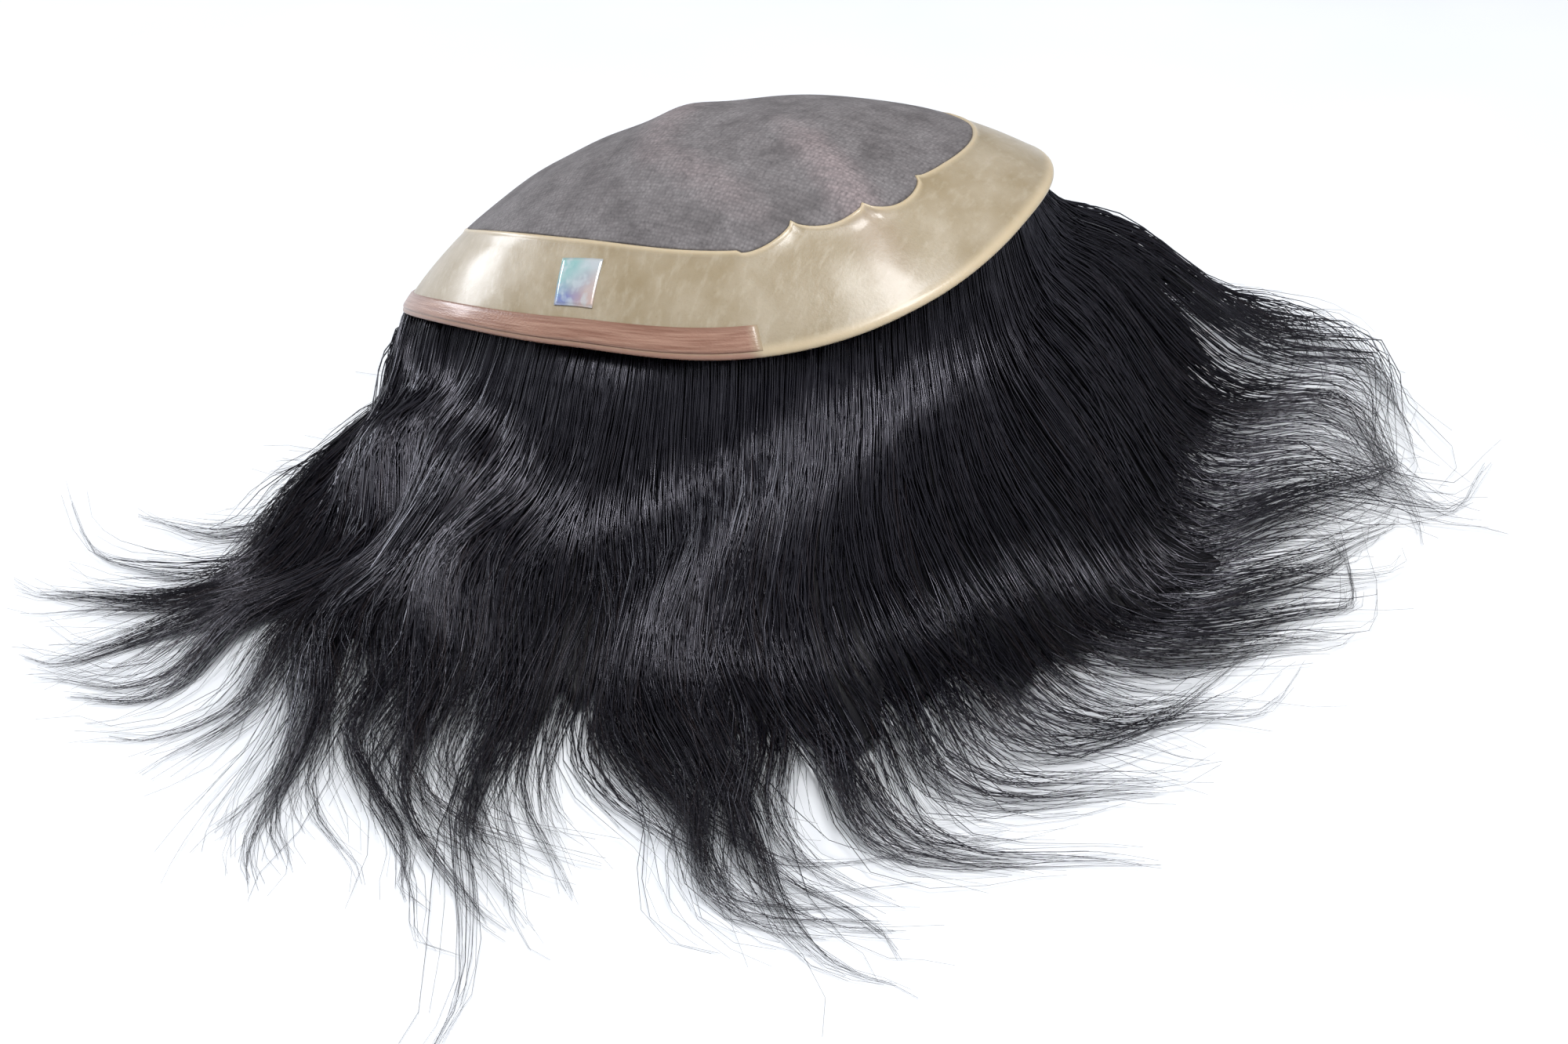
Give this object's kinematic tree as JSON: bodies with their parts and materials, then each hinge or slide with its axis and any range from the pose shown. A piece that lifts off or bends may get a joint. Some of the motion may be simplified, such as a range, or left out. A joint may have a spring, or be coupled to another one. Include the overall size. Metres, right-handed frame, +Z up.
{
  "type": "toupee hairpiece",
  "caption": "Hair patch lying inside out: a thin domed net crown in a clear skin band with a scalloped front seam, and long dark wavy hair fanned out in front.",
  "frame": {"origin": "on the table, under the middle of the whole object's box", "axes": "+X to the viewer's right, along the widest spread of the hair; +Y away from the viewer, from the fanned tips to the far side of the cap; +Z up"},
  "size_m": [0.3504, 0.288, 0.0813],
  "materials": {
    "net": "fine knotted mono net, matt, grey-brown over the dark roots",
    "skin": "clear soft polyurethane skin, cream, glossy",
    "ribbon": "reddish-brown edge tape under a clear coat",
    "foil": "pearly foil sticker, plain",
    "hair": "near-black hair with a cool sheen, in soft waves"
  },
  "bodies": {
    "root": {"mesh_crown": "net", "skin_band": "skin", "edge_ribbon": "ribbon", "foil_sticker": "foil", "hair": "hair"}
  },
  "joints": []
}
